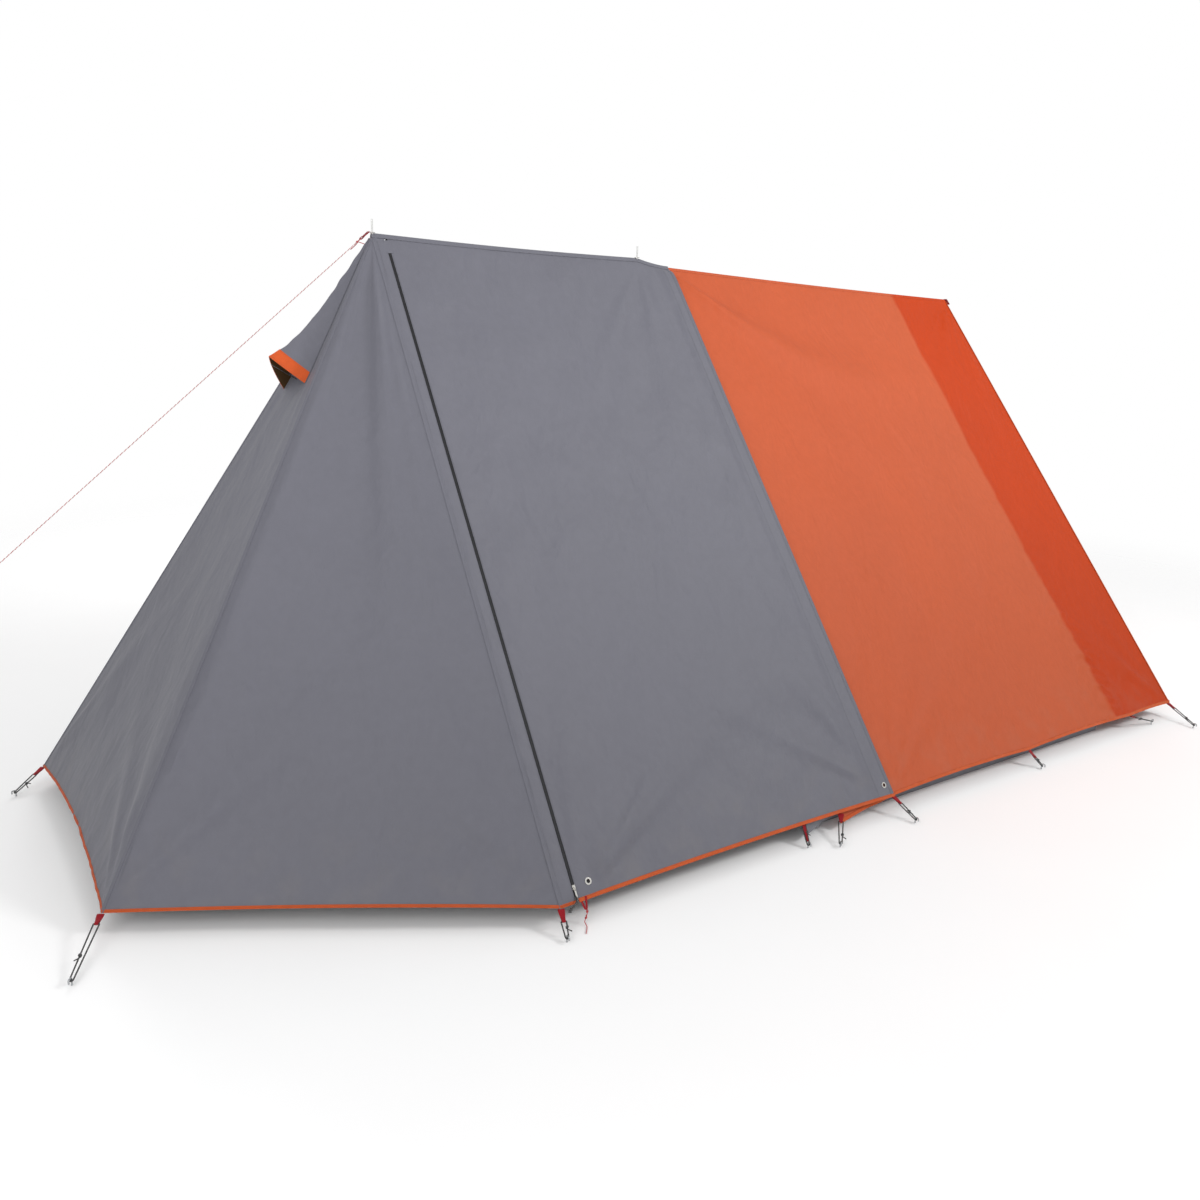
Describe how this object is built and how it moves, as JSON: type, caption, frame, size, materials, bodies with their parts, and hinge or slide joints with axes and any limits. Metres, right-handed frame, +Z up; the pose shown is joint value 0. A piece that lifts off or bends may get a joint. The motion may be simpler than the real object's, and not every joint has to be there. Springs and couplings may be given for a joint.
{
  "type": "ridge tent",
  "caption": "Ridge tent on upright poles with a grey zipped porch whose side doors lift as awnings, and an orange sleeping cabin with a hung inner tent.",
  "frame": {"origin": "on the ground, on the ridge centreline, half way between the front hem and the rear hem of the fly", "axes": "+X runs along the ridge from the porch towards the sleeping cabin, +Z is up, -Y is the near side"},
  "size_m": [5.085, 2.3718, 1.89],
  "materials": {
    "bare_steel": "galvanised",
    "black_plastic": "moulded",
    "elastic": "covered elastic cord",
    "eyelet_metal": "nickel plated",
    "grey_fly": "woven polyester, satin coating",
    "groundsheet": "coated woven polyethylene",
    "guyline": "braided cord, red and white",
    "inner_fabric": "breathable polyester",
    "mesh": "fine net",
    "orange_binding": "woven binding tape",
    "orange_fly": "woven polyester, satin coating",
    "pole_steel": "powder coated",
    "red_webbing": "woven webbing",
    "zip_metal": "nickel plated",
    "zip_tape": "black tape with nylon coil"
  },
  "bodies": {
    "root": {"cabin_far": "orange_fly", "cabin_near": "orange_fly", "cabin_rear": "orange_fly", "elastic_cords": "elastic", "front_binding": "orange_binding", "front_guyline": "guyline", "front_panel": "grey_fly", "front_pole": "pole_steel", "front_side_far": "grey_fly", "front_side_near": "grey_fly", "front_zip_fixed_far": "zip_tape", "front_zip_fixed_near": "zip_tape", "inner_floor": "groundsheet", "inner_hooks": "black_plastic", "inner_wall_far": "inner_fabric", "inner_wall_front": "inner_fabric", "inner_wall_near": "inner_fabric", "inner_wall_rear": "inner_fabric", "inner_zip_fixed": "zip_tape", "mid_pole": "pole_steel", "pegs": "bare_steel", "pole_feet": "black_plastic", "pole_spikes": "bare_steel", "rear_pole": "pole_steel", "rear_pole_cap": "black_plastic", "rear_zip_fixed_far": "zip_tape", "rear_zip_fixed_near": "zip_tape", "ridge_eyelets": "eyelet_metal", "ridge_tape": "grey_fly", "tub_walls": "groundsheet", "vent_hood": "grey_fly", "vent_mesh": "mesh", "vent_rim": "orange_binding", "webbing_tabs": "red_webbing", "zip_facing_far": "grey_fly", "zip_facing_near": "grey_fly"},
    "door_near": {"door_near": "grey_fly", "door_binding_near": "orange_binding", "rear_flap_near": "grey_fly", "door_eyelets_near": "eyelet_metal", "front_zip_door_near": "zip_tape", "rear_zip_door_near": "zip_tape"},
    "front_slider_near": {"front_slider_near": "zip_metal"},
    "front_puller_near": {"front_puller_near": "zip_metal"},
    "rear_slider_near": {"rear_slider_near": "zip_metal"},
    "door_far": {"door_far": "grey_fly", "door_binding_far": "orange_binding", "rear_flap_far": "grey_fly", "door_eyelets_far": "eyelet_metal", "front_zip_door_far": "zip_tape", "rear_zip_door_far": "zip_tape"},
    "front_slider_far": {"front_slider_far": "zip_metal"},
    "front_puller_far": {"front_puller_far": "zip_metal"},
    "rear_slider_far": {"rear_slider_far": "zip_metal"},
    "vent_prop": {"vent_prop": "black_plastic"},
    "inner_door": {"inner_door": "inner_fabric", "inner_zip_door": "zip_tape"},
    "inner_slider": {"inner_slider": "zip_metal"},
    "guyline_runner": {"guyline_runner": "black_plastic"}
  },
  "joints": [
    {"name": "door_near_lift", "type": "hinge", "parent": "root", "child": "door_near", "pos_m": [-0.475, -0.01953, 1.66857], "axis": [-1, 0, 0], "range_deg": [0, 57]},
    {"name": "front_zip_near_slide", "type": "slide", "parent": "door_near", "child": "front_slider_near", "axis": [-0.019, 0.5391, 0.842], "range_m": [0, 1.814]},
    {"name": "front_puller_near_swing", "type": "hinge", "parent": "front_slider_near", "child": "front_puller_near", "pos_m": [-0.97572, -1.03255, 0.09394], "axis": [-0.9998, -0.0102, -0.016], "range_deg": [0, 165]},
    {"name": "rear_zip_near_slide", "type": "slide", "parent": "door_near", "child": "rear_slider_near", "axis": [-0.0844, 0.5373, 0.8392], "range_m": [0, 1.82]},
    {"name": "door_far_lift", "type": "hinge", "parent": "root", "child": "door_far", "pos_m": [-0.475, 0.01953, 1.66857], "axis": [1, 0, 0], "range_deg": [0, 57]},
    {"name": "front_zip_far_slide", "type": "slide", "parent": "door_far", "child": "front_slider_far", "axis": [-0.019, -0.5391, 0.842], "range_m": [0, 1.814]},
    {"name": "front_puller_far_swing", "type": "hinge", "parent": "front_slider_far", "child": "front_puller_far", "pos_m": [-0.97572, 1.03255, 0.09394], "axis": [0.9998, -0.0102, 0.016], "range_deg": [0, 165]},
    {"name": "rear_zip_far_slide", "type": "slide", "parent": "door_far", "child": "rear_slider_far", "axis": [-0.0844, -0.5373, 0.8392], "range_m": [0, 1.82]},
    {"name": "vent_prop_fold", "type": "hinge", "parent": "root", "child": "vent_prop", "pos_m": [-1.28684, 0, 1.28824], "axis": [0, 1, 0], "range_deg": [0, 84]},
    {"name": "inner_door_drop", "type": "hinge", "parent": "root", "child": "inner_door", "pos_m": [-0.0738, 0, 0.262], "axis": [0, 1, 0], "range_deg": [0, 80]},
    {"name": "inner_zip_travel", "type": "hinge", "parent": "root", "child": "inner_slider", "pos_m": [-0.077, 0, 0.64], "axis": [-1, 0, 0], "range_deg": [0, 268]},
    {"name": "runner_slide", "type": "slide", "parent": "root", "child": "guyline_runner", "axis": [0.7524, 0, 0.6587], "range_m": [-0.25, 0.6]}
  ]
}
